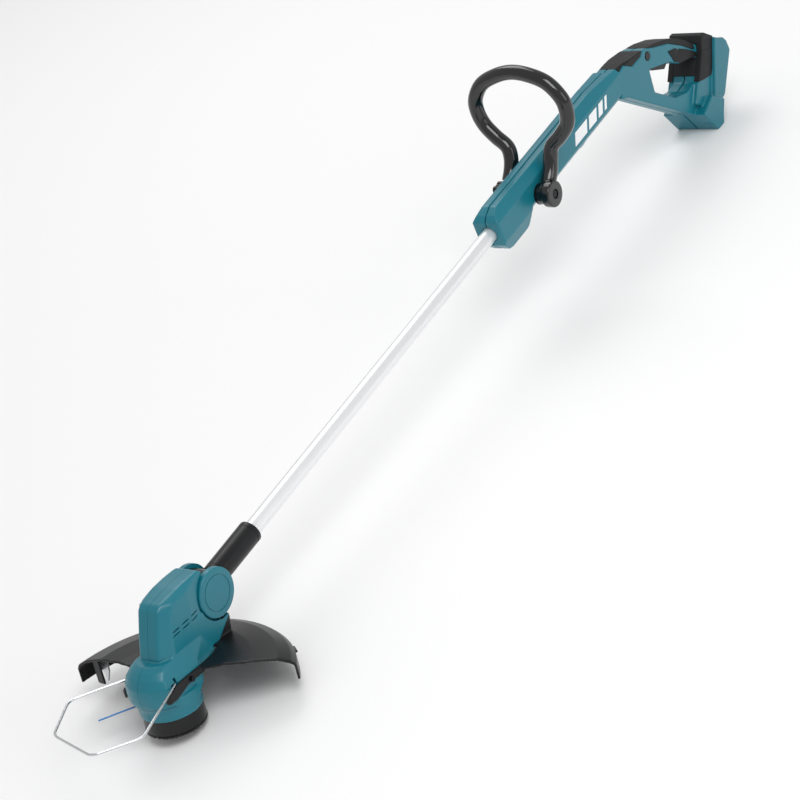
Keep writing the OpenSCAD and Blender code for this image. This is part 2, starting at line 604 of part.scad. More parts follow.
// ---------- loop handle ----------
loop_half_w = loop_w / 2;
hub_in = washer_y + washer_t + 0.1;
foot_out = hub_in + 11;              // outer face of the far leg's foot, under the knob
boss_r = 17.5;
knob_r = 16;
leg_y = hub_in + loop_d / 2 - 1;
loop_half = [[0, leg_y, 0], [12, leg_y, 10], [24, leg_y, 20], [33, leg_y, 33], [39, leg_y + 4, 47],
    [43, 50, 60], [47, 64, 76], [49, 69, 95], [51, 66, 114], [54, 50, 134], [56, 25, 145]];
loop_path = concat(loop_half, [[57, 0, 149]], mirrored(loop_half));
module loop_handle() in_front(black) translate([loop_at, 0, loop_z]) difference() {
    union() {
        bar(curve(loop_path, 2), loop_d, 18, [-1, 0, 0.35]);
        cross_rod(boss_r, loop_half_w - foot_out, -(loop_half_w + foot_out) / 2);
        for (s = [-1, 1]) cross_rod(14, foot_out - hub_in, s * (foot_out + hub_in) / 2);
    }
    cube([200, 2 * hub_in, 50], center = true);
    cross_rod(knob_r + 1, 20, foot_out + 10);
    for (s = [-1, 1]) cross_rod(bolt_r, 30, s * 35);
    cross_rod(6.5, 12, -loop_half_w - 1);
}
module loop_bolt() in_front(steel) translate([loop_at, 0, loop_z]) {
    cross_rod(bolt_r, loop_half_w + foot_out + 4, (foot_out - loop_half_w) / 2 + 4);
    translate([0, 4.8 - loop_half_w, 0]) rotate([90, 0, 0]) cylinder(r = 5.5, h = 4, $fn = 6);
}
knob_y = foot_out + 0.3;
knob_h = loop_half_w - knob_y;
module loop_knob() in_front(black) translate([loop_at, 0, loop_z]) difference() {
    union() {
        cross_rod(knob_r - 3, knob_h, knob_y + knob_h / 2);
        for (i = [0:5]) rotate([0, 60 * i, 0]) translate([knob_r - 5, 0, 0]) cross_rod(5, knob_h - 1, knob_y + knob_h / 2);
    }
    cross_rod(5, 2 * (knob_h - 3), knob_y);
}
module knob_nut() in_front([0.75, 0.6, 0.3]) translate([loop_at, 0, loop_z]) difference() {
    cross_rod(5, knob_h - 3.2, knob_y + (knob_h - 3) / 2);
    cross_rod(bolt_r + fit, 40, knob_y + 5);
}

// ---------- rear housing ----------
grip_half = grip_w / 2;
block_half = block_w / 2;
neck_half = neck_w / 2;
floor_slope = tan(lie_pitch);
foot_front = -10;
foot_rear = 8;
foot = [180, foot_z];
body_side = [[0, 24], [29, 21], [72, 12], [110, 1], [140, -11], [160, -22], [183, -40], [206, -62], [215, -100],
    [195, -140], [147, -141], [50, -56], [16, -26], [0, -18]];
neck_side = [[219, -52], [242, -73], [250, -82], [206, -128], [190, -146], [168, -141], [150, -125], [172, -102]];
plate_side = [[236, -68], [242, -73], [256, -81], [262, -90], [264, -106], [218, -152], [208, -154], [192, -138]];
foot_side = [[208, -153], [foot[0] + foot_rear + 6, foot[1] + 10],
    [foot[0] + foot_rear, foot[1] - foot_rear * floor_slope], [foot[0] + foot_front, foot[1] - foot_front * floor_slope],
    [147, -141], [180, -130]];
finger_gap = [[80, -22], [76, -56], [117, -92], [150, -104], [172, -103], [196, -78], [190, -70], [153, -59], [130, -42]];
grip_section = [[-front_half, -200], [-front_half, 14], [-11, 25], [11, 25], [front_half, 14], [front_half, -200]];
foot_half = 34;

module rear_outer(t) {
    intersection() {
        side_view(grip_w - 2 * t) offset(delta = -t) polygon(body_side);
        translate([0, 0, -t]) rotate([90, 0, 90]) linear_extrude(2 * big, center = true) polygon(grip_section);
    }
    side_view(neck_w - 2 * t) offset(delta = -t) polygon(neck_side);
    side_view(block_w - 2 * t) offset(delta = -t) polygon(plate_side);
    side_view(2 * foot_half - 2 * t) offset(delta = -t) polygon(foot_side);
}
// Battery plate: u runs back through the plate and v up along it
plate_turn = 43.7;
plate_zero = [202, -131];
module on_plate() translate([plate_zero[0], 0, plate_zero[1]]) rotate([0, plate_turn, 0]) children();
rail_in = 24;
rail_out = 20;
rail_depth = 8;
plate_face = 25.5;      // the battery plate's rear face, along u
rail_low = 0;           // stop at the lower end; the battery slides in from above
module battery_cut() on_plate() {
    translate([plate_face - rail_depth, -rail_in, rail_low]) cube([rail_depth - 3, 2 * rail_in, 100]);
    translate([plate_face - 4, -rail_out, rail_low]) cube([30, 2 * rail_out, 100]);
}
rear_screw_at = [[24, 6], [60, 4], [66, -60], [140, -119], [160, -37], [208, -72]];
trigger_pivot = [98, -27];
lock_at = [86, -4];
term_half = 15;
term_low = 20;
term_high = 54;
module rear_shell() difference() {
    rear_outer(0);
    difference() {
        rear_outer(wall);
        side_view(100) offset(delta = wall) polygon(finger_gap);
        on_plate() translate([plate_face - rail_depth - wall, -50, -60]) cube([50, 100, 160]);
        for (p = rear_screw_at) translate([p[0], 0, p[1]]) cross_rod(4, 100);
        translate([trigger_pivot[0], 0, trigger_pivot[1]]) cross_rod(4.5, 100);
        translate([lock_at[0], 0, lock_at[1]]) cross_rod(8.5, 100);
    }
    side_view(100) polygon(finger_gap);
    battery_cut();
    on_plate() translate([plate_face - rail_depth - 8, -term_half, term_low]) cube([20, 2 * term_half, term_high - term_low]);
    translate([trigger_pivot[0], 0, trigger_pivot[1]]) cross_rod(2.5 + fit, 26);
    side_view(trigger_w + 2 * gap) polygon([[92, -20], [92, -40], [140, -60], [146, -52], [146, -30], [120, -14]]);
    translate([lock_at[0], 0, lock_at[1]]) cross_rod(6 + fit, 100);
    translate([lock_at[0], 0, lock_at[1]]) cross_rod(7.2, 2 * (grip_half - 5));
    translate([-10, -11, -14]) cube([30, 22, 26]);
    grip_room();
    for (p = rear_screw_at) translate([p[0], 0, p[1]]) {
        cross_rod(1.5, 16);
        translate([0, 50 + 8, 0]) cross_rod(3.2, 100);
    }
    translate([158, -40, -166]) cross_rod(4, 40);
}
strap_t = 2;
strap_end = 200;
strap_side = [[12, 40], [12, 17], [26, 19], [44, 6], [70, 5], [80, 12], [104, -2], [141, -19], [171, -41], [195, -63],
    [206, -66], [215, -40], [160, 0], [72, 40]];
module strap_zone(t) side_view(100) offset(delta = -t) polygon(strap_side);
pad_side = [[136, -27], [151, -35], [188, -66], [206, -80], [197, -79], [190, -71.5], [153, -60.5], [142, -53]];
// Hollow that the strap is moulded into, cut strap_t deep in the grip
module grip_room() intersection() {
    difference() {
        side_view(100) polygon(body_side);
        intersection() {
            side_view(grip_w - 2 * strap_t) offset(delta = -strap_t) polygon(body_side);
            translate([0, 0, -strap_t]) rotate([90, 0, 90]) linear_extrude(2 * big, center = true)
                polygon(grip_section);
        }
    }
    strap_zone(0);
    translate([strap_end - 300, -100, -300]) cube([300, 200, 600]);
}
module grip_rubber() in_rear([0.13, 0.13, 0.14]) difference() {
    intersection() {
        side_view(grip_w) polygon(body_side);
        rotate([90, 0, 90]) linear_extrude(2 * big, center = true) polygon(grip_section);
        strap_zone(nest);
    }
    intersection() {
        side_view(grip_w - 2 * strap_t + 2 * nest) offset(delta = nest - strap_t) polygon(body_side);
        translate([0, 0, nest - strap_t]) rotate([90, 0, 90]) linear_extrude(2 * big, center = true)
            polygon(grip_section);
    }
    side_view(100) offset(delta = nest) polygon(neck_side);
    translate([strap_end - nest, -100, -300]) cube([300, 200, 600]);
    for (p = rear_screw_at) translate([p[0], 50 + 8, p[1]]) cross_rod(3.2, 100);
}
module grip_pad() in_rear([0.11, 0.11, 0.12]) for (s = [-1, 1]) translate([0, s * (grip_half + nest + 0.5), 0])
    side_view(1) difference() {
        polygon([[136, -28], [151, -37], [176, -57], [181, -66], [153, -58], [141, -50]]);
        translate([160, -37]) circle(r = 3.4);
    }
// Rubber boot over the top and front of the neck
module rear_boot() in_rear([0.1, 0.1, 0.11]) for (s = [-1, 1]) translate([0, s * (neck_half + nest + 0.75), 0])
    side_view(1.5) polygon([[219, -52], [236, -67.5], [231, -76], [196, -112], [180, -104], [200, -78]]);
module switch_body() in_rear([0.15, 0.15, 0.16]) translate([122, 0, -22]) rotate([0, 22, 0])
    cube([26, 18, 13], center = true);
module controller_board() in_rear([0.1, 0.35, 0.15]) translate([38, 0, -10]) cube([16, 20, 10], center = true);
module terminal_block() in_rear([0.12, 0.12, 0.12]) on_plate() difference() {
    translate([plate_face - rail_depth - 8 + nest, nest - term_half, term_low + nest])
        cube([7.5, 2 * term_half - 2 * nest, term_high - term_low - 2 * nest]);
    for (y = [-10, 0, 10]) translate([plate_face - rail_depth - 4, y - 0.4, term_low + 8]) cube([10, 0.8, 18]);
}
module terminal_contacts() in_rear([0.8, 0.65, 0.3]) on_plate() for (y = [-10, 0, 10])
    translate([plate_face - rail_depth - 4, y - 0.4, term_low + 8]) cube([7.5, 0.8, 18]);
module rear_housing_left() in_rear(teal) left_half() rear_shell();
module rear_housing_right() in_rear(teal) right_half() rear_shell();
module rear_housing_screws() in_rear(steel) for (p = rear_screw_at)
    translate([p[0], 8, p[1]]) cross_screw(3, 16, 6, 2.6);

// ---------- trigger and lock-off ----------
module trigger() in_rear(black) {
    side_view(trigger_w) polygon([[97, -24.5], [95.5, -29], [103, -38], [130, -53], [138, -50], [139, -40], [132, -38],
        [110, -29]]);
    translate([trigger_pivot[0], 0, trigger_pivot[1]]) cross_rod(2.5, 25);
}
module trigger_spring() in_rear(steel) translate([115.9, 0, -31.1]) rotate([0, 22, 0]) ring(2.6, 1.8, 4.1);
button_half = grip_half + 0.5;
collar_half = 1.5;
module lock_off_button() in_rear(black) translate([lock_at[0], 0, lock_at[1]]) union() {
    cross_rod(6, 2 * button_half - lock_travel, -lock_travel / 2);
    cross_rod(7, 2 * collar_half);
}
module lock_off_spring() in_rear(steel) translate([lock_at[0], grip_half - 5.1, lock_at[1]]) rotate([90, 0, 0])
    ring(7, 6.3, grip_half - 5.2 - collar_half);

shaft_tube();
lower_sleeve();
pivot_drum();
supply_lead();
front_housing_left();
front_housing_right();
front_housing_screws();
handle_washers();
rear_housing_left();
rear_housing_right();
rear_housing_screws();
grip_rubber();
grip_pad();
rear_boot();
switch_body();
controller_board();
terminal_block();
terminal_contacts();
head_housing_left();
head_housing_right();
head_screws();
pivot_pin();
tilt_detent_spring();
motor_can();
motor_end_bell();
gear_cover();
gear_case();
motor_screws();
motor_lead();
bearing_outer_rings();
bearing_balls();
guard();
guard_screws();
line_cutter();
line_cutter_screw();
motor_shaft();
pinion();
spindle();
spur_gear();
bearing_inner_rings();
spool_housing();
spool_cover();
line_reel();
line_winding();
line_eyelet();
bump_spring();
cutting_line();
bump_cap();
wire_guard();
loop_handle();
loop_bolt();
loop_knob();
knob_nut();
trigger();
trigger_spring();
lock_off_button();
lock_off_spring();
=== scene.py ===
import json
import math

import bpy
from mathutils import Matrix, Vector


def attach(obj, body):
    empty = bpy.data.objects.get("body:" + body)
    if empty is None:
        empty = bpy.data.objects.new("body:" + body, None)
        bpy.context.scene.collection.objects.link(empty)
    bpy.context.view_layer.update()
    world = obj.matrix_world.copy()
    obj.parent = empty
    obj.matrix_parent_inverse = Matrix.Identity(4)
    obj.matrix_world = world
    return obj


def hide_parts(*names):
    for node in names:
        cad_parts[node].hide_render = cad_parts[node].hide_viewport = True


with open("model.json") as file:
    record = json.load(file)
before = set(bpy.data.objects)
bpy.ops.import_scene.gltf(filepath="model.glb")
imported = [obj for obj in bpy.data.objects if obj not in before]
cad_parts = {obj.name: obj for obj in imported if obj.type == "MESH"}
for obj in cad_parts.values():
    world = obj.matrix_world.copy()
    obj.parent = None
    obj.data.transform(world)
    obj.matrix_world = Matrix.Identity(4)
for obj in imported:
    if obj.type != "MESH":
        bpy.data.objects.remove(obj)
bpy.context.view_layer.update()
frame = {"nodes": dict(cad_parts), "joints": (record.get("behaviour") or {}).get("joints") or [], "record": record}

# ---------------------------------------------------------------- Where the tool lies
# The tool lies on its rear foot and its bump cap. Its joints say where the shaft, the head and the
# housings are, and each piece is drawn in the frame of the part that it belongs to, in millimetres.
MM = 0.001
joints = {j["name"]: j for j in frame["joints"]}
tilt_pivot = Vector(joints["head_tilt"]["pos_m"])
loop_pivot = Vector(joints["loop_tilt"]["pos_m"])
spindle_axis = Vector(joints["spool_spin"]["axis"])

LOOP_DROP = 5 * MM          # the loop handle's bolt is this far below the shaft's axis
to_loop = loop_pivot - tilt_pivot
shaft_pitch = math.atan2(to_loop.z, to_loop.x) + math.asin(LOOP_DROP / to_loop.length)
SHAFT = Matrix.Translation(tilt_pivot) @ Matrix.Rotation(-shaft_pitch, 4, "Y")

PIVOT_BACK = 92.4           # the tilt pivot, behind the spindle
PIVOT_HIGH = 113.7          # and above the spool's lower rim
head_pitch = math.atan2(spindle_axis.x, spindle_axis.z)
HEAD = (Matrix.Translation(tilt_pivot) @ Matrix.Rotation(head_pitch, 4, "Y")
        @ Matrix.Translation((-PIVOT_BACK * MM, 0, -PIVOT_HIGH * MM)))

FRONT_AT = 671 * MM         # nose of the front housing, behind the tilt pivot
SEAM_AT = 1010 * MM         # seam between the two housings
FRONT = SHAFT @ Matrix.Translation((FRONT_AT, 0, 0))
REAR = SHAFT @ Matrix.Translation((SEAM_AT, 0, 0))

# ---------------------------------------------------------------- Camera
# It stands off the tool's left, ahead of the head and above it, turned a little about its own
# sight. Its place is given in the shaft's frame.
camera_data = bpy.data.cameras.new("camera")
camera_data.sensor_width = 36
camera_data.lens = 111.06
camera_data.clip_end = 20
camera = bpy.data.objects.new("camera", camera_data)
bpy.context.scene.collection.objects.link(camera)
looks_right = Vector((0.4958, -0.7986, -0.3413))
looks_up = Vector((0.6268, 0.0570, 0.7771))
looks_back = looks_right.cross(looks_up)
stand = Matrix((looks_right, looks_up, looks_back)).transposed().to_4x4()
stand.translation = Vector((-1402.4, -1800.9, 1535.1)) * MM
camera.matrix_world = SHAFT @ stand
bpy.context.scene.camera = camera


# ---------------------------------------------------------------- Floor and studio light
# A plain pale floor, one large soft light from the upper left, a weaker one from the right to
# open the shadows, and a white surround.
def colour(hex_code):
    """An sRGB hex value as the linear colour that a shader socket takes."""
    parts = [int(hex_code[i:i + 2], 16) / 255 for i in (0, 2, 4)]
    return tuple(p / 12.92 if p <= 0.04045 else ((p + 0.055) / 1.055) ** 2.4 for p in parts) + (1.0,)


def add(material, kind, settings=None, links=None):
    """Adds one node, sets its properties and sockets, and links its sockets."""
    node = material.node_tree.nodes.new(kind)
    for name, value in (settings or {}).items():
        if isinstance(name, int) or name in node.inputs:
            node.inputs[name].default_value = value
        else:
            setattr(node, name, value)
    for name, source in (links or {}).items():
        material.node_tree.links.new(source, node.inputs[name])
    return node


def finish_of(name):
    """An empty material with its output and principled shader."""
    material = bpy.data.materials.new(name)
    material.use_nodes = True
    material.node_tree.nodes.clear()
    shader = add(material, "ShaderNodeBsdfPrincipled")
    add(material, "ShaderNodeOutputMaterial", links={"Surface": shader.outputs[0]})
    return material, shader


FLOOR_SIZE = 14
bpy.ops.object.select_all(action="DESELECT")
bpy.ops.mesh.primitive_plane_add(size=FLOOR_SIZE, location=(-0.6, 0, 0))
floor = bpy.context.object
floor.name = "floor"
floor_paint, shader = finish_of("pale_floor")
shader.inputs["Base Color"].default_value = colour("F6F6F6")
shader.inputs["Roughness"].default_value = 0.9
floor.data.materials.append(floor_paint)

world = bpy.data.worlds.new("studio")
bpy.context.scene.world = world
world.use_nodes = True
world.node_tree.nodes["Background"].inputs[0].default_value = (1, 1, 1, 1)
world.node_tree.nodes["Background"].inputs[1].default_value = 0.6
bpy.context.scene.view_settings.view_transform = "Standard"

middle = SHAFT @ Vector((0.55, 0, 0))
for name, offset, size, power in (
    ("key_light", (-1.0, -1.6, 2.6), 1.6, 38),
    ("back_light", (1.4, 1.2, 2.2), 1.6, 22),
    ("side_light", (0.2, -2.6, 0.9), 1.2, 8),
):
    lamp_data = bpy.data.lights.new(name, "AREA")
    lamp_data.size = size
    lamp_data.energy = power
    lamp = bpy.data.objects.new(name, lamp_data)
    bpy.context.scene.collection.objects.link(lamp)
    lamp.location = middle + Vector(offset)
    lamp.rotation_euler = (middle - lamp.location).to_track_quat("-Z", "Y").to_euler()


# ---------------------------------------------------------------- Cutting line
# The free end of the nylon line: an extruded blue monofilament of 2 mm that leaves the drum
# through its eyelet and is cut short beside the wire guard.
def link(name, data):
    obj = bpy.data.objects.new(name, data)
    bpy.context.scene.collection.objects.link(obj)
    return obj


def smooth_route(points, steps):
    """Points along a Catmull-Rom curve through the given ones."""
    route = []
    for i in range(len(points) - 1):
        a, b = points[max(i - 1, 0)], points[i]
        c, d = points[i + 1], points[min(i + 2, len(points) - 1)]
        for s in range(steps):
            t = s / steps
            route.append(0.5 * (2 * b + (c - a) * t + (2 * a - 5 * b + 4 * c - d) * t * t
                                + (3 * b - a - 3 * c + d) * t * t * t))
    return route + [points[-1]]


LINE_WIDE = 2 * MM
LINE_HIGH = 17.5        # the eyelet's middle, above the spool's lower rim
line_route = [(10.4, 27.6), (11.2, 31), (11.4, 34), (9.6, 36.5), (6, 38.7), (0, 42.8), (-8, 48.4),
              (-17, 54.6), (-27, 61.6), (-36, 67.8), (-44, 73.4)]
line_points = smooth_route([HEAD @ (Vector((x, y, LINE_HIGH)) * MM) for x, y in line_route], 2)
line_data = bpy.data.curves.new("line_end", "CURVE")
line_data.dimensions = "3D"
line_data.bevel_depth = LINE_WIDE / 2
line_data.bevel_resolution = 4
line_data.use_fill_caps = True
spline = line_data.splines.new("POLY")
spline.points.add(len(line_points) - 1)
for knot, point in zip(spline.points, line_points):
    knot.co = (*point, 1)
line_end = link("line_end", line_data)

nylon, shader = finish_of("nylon_monofilament")
shader.inputs["Roughness"].default_value = 0.25
shader.inputs["Subsurface Weight"].default_value = 0.3
shader.inputs["Subsurface Scale"].default_value = 0.001
place = add(nylon, "ShaderNodeTexCoord")
streaks = add(nylon, "ShaderNodeTexNoise", {"Scale": 900.0, "Detail": 2.0},
              {"Vector": place.outputs["Object"]})
tint = add(nylon, "ShaderNodeMix", {"data_type": "RGBA", 6: colour("2A74B8"), 7: colour("4C95D6")},
           {"Factor": streaks.outputs["Fac"]})
nylon.node_tree.links.new(tint.outputs[2], shader.inputs["Base Color"])
line_end.data.materials.append(nylon)
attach(line_end, "spool")
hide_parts("cutting_line")


# ---------------------------------------------------------------- Shaft
# A drawn aluminium tube, satin anodised, with a moulded sleeve over its lower end. The sleeve's
# ends are rounded and its skin has the faint bands of a moulded grip.
def pick_none():
    bpy.ops.object.select_all(action="DESELECT")


def make_active(obj):
    pick_none()
    obj.select_set(True)
    bpy.context.view_layer.objects.active = obj


def apply(obj, kind, **settings):
    """Adds a modifier with its settings and applies it."""
    make_active(obj)
    modifier = obj.modifiers.new(kind, kind)
    for name, value in settings.items():
        setattr(modifier, name, value)
    bpy.ops.object.modifier_apply(modifier=modifier.name)
    return obj


def combine(obj, tool, operation):
    """Joins, cuts or keeps the common part with another closed mesh, which is used up."""
    apply(obj, "BOOLEAN", object=tool, operation=operation, solver="MANIFOLD")
    bpy.data.objects.remove(tool)
    return obj


def rod(name, radius, length, at=(0, 0, 0), along="Y", sides=96):
    """A round rod in millimetres, centred on a point and lying along an axis."""
    turn = {"X": (0, math.pi / 2, 0), "Y": (math.pi / 2, 0, 0), "Z": (0, 0, 0)}[along]
    pick_none()
    bpy.ops.mesh.primitive_cylinder_add(vertices=sides, radius=radius * MM, depth=length * MM,
                                        location=Vector(at) * MM, rotation=turn)
    obj = bpy.context.object
    obj.name = name
    bpy.ops.object.transform_apply(location=True, rotation=True, scale=True)
    return obj


def settle(obj, matrix, body, material, nodes, angle=40):
    """Moves a piece from its own frame to the tool's, and says what it is and what it stands for."""
    obj.data.transform(matrix)
    make_active(obj)
    bpy.ops.object.shade_smooth_by_angle(angle=math.radians(angle))
    obj.data.materials.clear()
    obj.data.materials.append(material)
    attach(obj, body)
    if nodes:
        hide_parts(*nodes)
    return obj


def moulded(name, hex_code, roughness, grain=0.5, depth=0.06, fade="", coat=0.0, ior=1.5):
    """Injection-moulded plastic: even colour with a faint flow mottle, and a spark-eroded grain.
    The grain is drawn at about half a millimetre, coarser than the real one, so that it shows."""
    material, shader = finish_of(name)
    shader.inputs["IOR"].default_value = ior
    shader.inputs["Coat Weight"].default_value = coat
    shader.inputs["Coat Roughness"].default_value = 0.08
    place = add(material, "ShaderNodeTexCoord")
    flow = add(material, "ShaderNodeTexNoise", {"Scale": 22.0, "Detail": 3.0, "Roughness": 0.6},
               {"Vector": place.outputs["Object"]})
    tone = add(material, "ShaderNodeMix",
               {"data_type": "RGBA", 6: colour(hex_code), 7: colour(fade or hex_code)},
               {"Factor": flow.outputs["Fac"]})
    grains = add(material, "ShaderNodeTexNoise", {"Scale": 1 / (grain * MM), "Detail": 2.0},
                 {"Vector": place.outputs["Object"]})
    relief = add(material, "ShaderNodeBump", {"Strength": depth, "Distance": 0.0004},
                 {"Height": grains.outputs["Fac"]})
    sheen = add(material, "ShaderNodeMapRange", {"To Min": roughness - 0.05, "To Max": roughness + 0.08},
                {"Value": flow.outputs["Fac"]})
    material.node_tree.links.new(tone.outputs[2], shader.inputs["Base Color"])
    material.node_tree.links.new(relief.outputs[0], shader.inputs["Normal"])
    material.node_tree.links.new(sheen.outputs[0], shader.inputs["Roughness"])
    return material


black_pp = moulded("black_polypropylene", "090A0D", 0.34, fade="0E1013", ior=1.4)
sleeve = rod("sleeve_moulding", 14.5, 78, at=(61, 0, 0), along="X")
combine(sleeve, rod("bore", 10.15, 120, at=(61, 0, 0), along="X"), "DIFFERENCE")
apply(sleeve, "BEVEL", width=2.2 * MM, segments=4, limit_method="ANGLE", angle_limit=math.radians(60))
combine(sleeve, rod("drum_room", 24.2, 60), "DIFFERENCE")
for x in (94, 30):
    band = rod("band", 15, 1.2, at=(x, 0, 0), along="X")
    combine(band, rod("band_core", 14.2, 3, at=(x, 0, 0), along="X"), "DIFFERENCE")
    combine(sleeve, band, "DIFFERENCE")
settle(sleeve, SHAFT, "tool", black_pp, ["lower_sleeve"])

anodised, shader = finish_of("satin_anodised_aluminium")
shader.inputs["Metallic"].default_value = 0.55
place = add(anodised, "ShaderNodeTexCoord")
along = add(anodised, "ShaderNodeMapping", {"Scale": (3.0, 160.0, 160.0), "Rotation": (0, shaft_pitch, 0)},
            {"Vector": place.outputs["Object"]})
drawn = add(anodised, "ShaderNodeTexNoise", {"Scale": 12.0, "Detail": 4.0}, {"Vector": along.outputs[0]})
tone = add(anodised, "ShaderNodeMix", {"data_type": "RGBA", 6: colour("E6E8EA"), 7: colour("F3F4F5")},
           {"Factor": drawn.outputs["Fac"]})
rough = add(anodised, "ShaderNodeMapRange", {"To Min": 0.26, "To Max": 0.38},
            {"Value": drawn.outputs["Fac"]})
anodised.node_tree.links.new(tone.outputs[2], shader.inputs["Base Color"])
anodised.node_tree.links.new(rough.outputs[0], shader.inputs["Roughness"])

# ---------------------------------------------------------------- Head housing
# Two moulded halves in teal ABS with a centre seam: the motor box with its vents, a round nose
# over the spool, a spine behind it and two pivot discs. Moulded walls with soft edges.
teal_abs = moulded("teal_abs", "0A6B7C", 0.3, fade="0E7484")


def plate(name, outline, low, high):
    """A side-view outline in X and Z, as a solid between two values of Y, in millimetres."""
    mesh = bpy.data.meshes.new(name)
    mesh.from_pydata([(x * MM, low * MM, z * MM) for x, z in outline], [], [tuple(range(len(outline)))])
    obj = link(name, mesh)
    make_active(obj)
    bpy.ops.object.mode_set(mode="EDIT")
    bpy.ops.mesh.select_all(action="SELECT")
    bpy.ops.mesh.extrude_region_move(TRANSFORM_OT_translate={"value": (0, (high - low) * MM, 0)})
    bpy.ops.mesh.select_all(action="SELECT")
    bpy.ops.mesh.normals_make_consistent(inside=False)
    bpy.ops.object.mode_set(mode="OBJECT")
    return obj


def skin_over(name, points):
    """The convex solid over a set of points in millimetres."""
    mesh = bpy.data.meshes.new(name)
    mesh.from_pydata([tuple(c * MM for c in p) for p in points], [], [])
    obj = link(name, mesh)
    make_active(obj)
    bpy.ops.object.mode_set(mode="EDIT")
    bpy.ops.mesh.select_all(action="SELECT")
    bpy.ops.mesh.convex_hull()
    bpy.ops.mesh.select_all(action="SELECT")
    bpy.ops.mesh.normals_make_consistent(inside=False)
    bpy.ops.object.mode_set(mode="OBJECT")
    return obj


def turned(name, profile, sides=96):
    """A solid turned about the spindle from an outline in radius and height that starts and ends on it."""
    mesh = bpy.data.meshes.new(name)
    edges = [(i, i + 1) for i in range(len(profile) - 1)]
    mesh.from_pydata([(r * MM, 0, z * MM) for r, z in profile], edges, [])
    obj = link(name, mesh)
    make_active(obj)
    bpy.ops.object.mode_set(mode="EDIT")
    bpy.ops.mesh.select_all(action="SELECT")
    bpy.ops.mesh.spin(steps=sides, angle=2 * math.pi, center=(0, 0, 0), axis=(0, 0, 1))
    bpy.ops.mesh.select_all(action="SELECT")
    bpy.ops.mesh.remove_doubles(threshold=1e-6)
    bpy.ops.mesh.normals_make_consistent(inside=False)
    bpy.ops.object.mode_set(mode="OBJECT")
    return obj


def joined(name, objs):
    pick_none()
    for obj in objs:
        obj.select_set(True)
    bpy.context.view_layer.objects.active = objs[0]
    bpy.ops.object.join()
    objs[0].name = name
    return objs[0]


def soften(obj, voxel, turns):
    """Fuses overlapping solids into one skin and rounds their edges, as a mould does."""
    apply(obj, "REMESH", mode="VOXEL", voxel_size=voxel * MM, adaptivity=0)
    return apply(obj, "SMOOTH", factor=0.5, iterations=turns)


def copy_of(obj, name):
    twin = obj.copy()
    twin.data = obj.data.copy()
    twin.name = name
    bpy.context.scene.collection.objects.link(twin)
    return twin


def hollow(obj, wall, voxel, bosses):
    """Takes out the inside, a wall's thickness in from the skin, and leaves the screw bosses."""
    room = copy_of(obj, "room")
    apply(room, "DISPLACE", strength=-wall * MM, mid_level=0)
    apply(room, "REMESH", mode="VOXEL", voxel_size=voxel * MM, adaptivity=0)
    for x, z in bosses:
        combine(room, rod("boss", 4.4, 120, at=(x, 0, z), sides=32), "DIFFERENCE")
    return combine(obj, room, "DIFFERENCE")


SEAM_GAP = 0.18         # half the width of the seam line between two housing halves
REACH = 3000            # further than any housing goes


def halves(obj, name):
    """Splits a housing at the centre plane into its left and right halves."""
    left = copy_of(obj, name + "_left")
    block = [(-REACH, -REACH), (REACH, -REACH), (REACH, REACH), (-REACH, REACH)]
    combine(left, plate("side", block, -REACH, -SEAM_GAP), "INTERSECT")
    right = combine(obj, plate("side", block, SEAM_GAP, REACH), "INTERSECT")
    right.name = name + "_right"
    return left, right


PIVOT_AT = (PIVOT_BACK, 0, PIVOT_HIGH)
front_edge = [(-13, 85), (-6, 108), (5, 137), (11, 142)]
box_points = [(x, s * 13.5, z) for x, z in front_edge + [(20, 143.5)] for s in (-1, 1)]
box_points += [(x, s * 22.5, z) for x, z in [(4, 84), (9, 106), (17, 131), (23, 139), (46, 141), (46, 84)]
               for s in (-1, 1)]
box_points += [(x, s * 16.5, z) for x, z in [(40, 147.5), (56, 149), (78, 149.5), (84, 145), (80, 90)]
               for s in (-1, 1)]
motor_box = skin_over("motor_box", box_points)
apply(motor_box, "BEVEL", width=2 * MM, segments=3, limit_method="ANGLE", angle_limit=math.radians(25))

nose_round = turned("nose_round", [(0, 21), (36, 21), (36.2, 32), (38, 37), (41.5, 42), (42.6, 47),
                                   (43, 55), (42, 64), (38, 73), (31, 80), (24, 84), (0, 84)])
nose_back = skin_over("nose_back", [(x, s * y, z) for x, y, z in (
    (0, 36, 40), (0, 31.6, 44), (0, 31.6, 62), (0, 26, 76), (0, 22, 86), (24, 31, 46),
    (24, 30.5, 62), (20, 24, 82), (40, 22, 52), (62, 22.4, 62), (50, 22.4, 84)) for s in (-1, 1)])
combine(nose_round, nose_back, "UNION")
nose_front = [(-26, 21), (26, 21), (36, 34), (31.6, 44), (31.6, 62), (26, 76), (22, 86),
              (-22, 86), (-26, 76), (-31.6, 62), (-31.6, 44), (-36, 34)]
nose_width = plate("nose_width", nose_front, -100, 100)
nose_width.data.transform(Matrix.Rotation(math.pi / 2, 4, "Z"))
combine(nose_round, nose_width, "INTERSECT")
collar = rod("collar", 36, 24, at=(0, 0, 33), along="Z", sides=128)
spine = plate("spine", [(10, 44), (20, 41), (39, 47), (75, 62), (99, 80), (106, 95), (80, 112),
                        (20, 92)], -22.4, 22.4)
discs = rod("discs", 29, 44.6, at=PIVOT_AT, sides=128)
apply(discs, "BEVEL", width=1.6 * MM, segments=3, limit_method="ANGLE", angle_limit=math.radians(60))
head_shell = joined("head_shell", [nose_round, collar, spine, motor_box])
soften(head_shell, 1.05, 7)
ring_gap = rod("ring_gap", 31.2, 80, at=PIVOT_AT, sides=128)
combine(ring_gap, rod("ring_core", 28, 90, at=PIVOT_AT, sides=128), "DIFFERENCE")
combine(ring_gap, rod("neck_core", 60, 29, at=PIVOT_AT), "DIFFERENCE")
